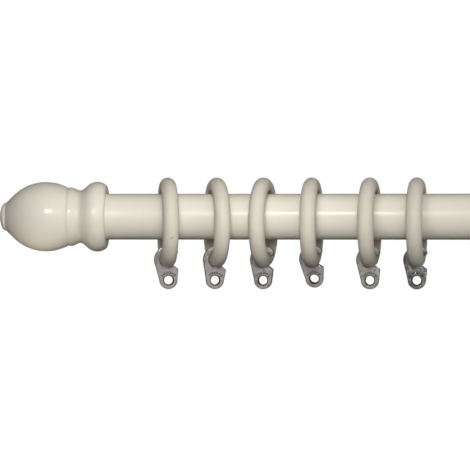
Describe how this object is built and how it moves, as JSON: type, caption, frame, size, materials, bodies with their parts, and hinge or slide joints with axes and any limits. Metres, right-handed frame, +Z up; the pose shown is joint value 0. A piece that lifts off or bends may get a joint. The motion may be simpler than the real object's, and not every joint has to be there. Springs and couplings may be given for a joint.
{
  "type": "curtain pole with wall brackets",
  "caption": "Painted wooden curtain pole in wall brackets, with turned finials and sliding rings that carry clip-on eyelets.",
  "frame": {"origin": "middle of the left wall plate's back, where it meets the wall", "axes": "+X along the pole to its right end, +Y into the wall, +Z up"},
  "size_m": [1.3348, 0.1121, 0.0717],
  "materials": {
    "gloss_paint": "cream gloss paint over turned wood",
    "satin_paint": "cream satin paint over turned wood",
    "zinc_steel": "zinc plated",
    "smoky_plastic": "smoky clear, moulded"
  },
  "bodies": {
    "root": {"pole": "gloss_paint", "finial_left": "gloss_paint", "finial_screw_left": "zinc_steel", "bracket_body_left": "gloss_paint", "wall_plate_left": "zinc_steel", "hanger_bolt_left": "zinc_steel", "pole_lock_screw_left": "zinc_steel", "finial_right": "gloss_paint", "finial_screw_right": "zinc_steel", "bracket_body_right": "gloss_paint", "wall_plate_right": "zinc_steel", "hanger_bolt_right": "zinc_steel", "pole_lock_screw_right": "zinc_steel"},
    "ring_1": {"ring_1": "satin_paint"},
    "eyelet_1": {"ring_eyelet_1": "smoky_plastic"},
    "ring_2": {"ring_2": "satin_paint"},
    "eyelet_2": {"ring_eyelet_2": "smoky_plastic"},
    "ring_3": {"ring_3": "satin_paint"},
    "eyelet_3": {"ring_eyelet_3": "smoky_plastic"},
    "ring_4": {"ring_4": "satin_paint"},
    "eyelet_4": {"ring_eyelet_4": "smoky_plastic"},
    "ring_5": {"ring_5": "satin_paint"},
    "eyelet_5": {"ring_eyelet_5": "smoky_plastic"},
    "ring_6": {"ring_6": "satin_paint"},
    "eyelet_6": {"ring_eyelet_6": "smoky_plastic"}
  },
  "joints": [
    {"name": "ring_1_slide", "type": "slide", "parent": "root", "child": "ring_1", "axis": [1, 0, 0], "range_m": [-0.028, 0.014]},
    {"name": "ring_2_slide", "type": "slide", "parent": "root", "child": "ring_2", "axis": [1, 0, 0], "range_m": [-0.014, 0.0095]},
    {"name": "ring_3_slide", "type": "slide", "parent": "root", "child": "ring_3", "axis": [1, 0, 0], "range_m": [-0.0095, 0.0145]},
    {"name": "ring_4_slide", "type": "slide", "parent": "root", "child": "ring_4", "axis": [1, 0, 0], "range_m": [-0.0145, 0.019]},
    {"name": "ring_5_slide", "type": "slide", "parent": "root", "child": "ring_5", "axis": [1, 0, 0], "range_m": [-0.019, 0.013]},
    {"name": "ring_6_slide", "type": "slide", "parent": "root", "child": "ring_6", "axis": [1, 0, 0], "range_m": [-0.013, 0.06]},
    {"name": "eyelet_1_swing", "type": "hinge", "parent": "ring_1", "child": "eyelet_1", "pos_m": [-0.2348, -0.085, -0.0036], "axis": [0.988, 0.1547, 0], "range_deg": [-90, 90]},
    {"name": "eyelet_2_swing", "type": "hinge", "parent": "ring_2", "child": "eyelet_2", "pos_m": [-0.2049, -0.085, -0.0036], "axis": [0.9799, 0.1994, 0], "range_deg": [-90, 90]},
    {"name": "eyelet_3_swing", "type": "hinge", "parent": "ring_3", "child": "eyelet_3", "pos_m": [-0.1762, -0.085, -0.0036], "axis": [0.9839, -0.1788, 0], "range_deg": [-90, 90]},
    {"name": "eyelet_4_swing", "type": "hinge", "parent": "ring_4", "child": "eyelet_4", "pos_m": [-0.1468, -0.085, -0.0036], "axis": [0.9917, -0.1288, 0], "range_deg": [-102, 78]},
    {"name": "eyelet_5_swing", "type": "hinge", "parent": "ring_5", "child": "eyelet_5", "pos_m": [-0.1115, -0.085, -0.0036], "axis": [0.986, -0.1668, 0], "range_deg": [-90, 90]},
    {"name": "eyelet_6_swing", "type": "hinge", "parent": "ring_6", "child": "eyelet_6", "pos_m": [-0.0829, -0.085, -0.0036], "axis": [0.9877, -0.1564, 0], "range_deg": [-90, 90]}
  ]
}
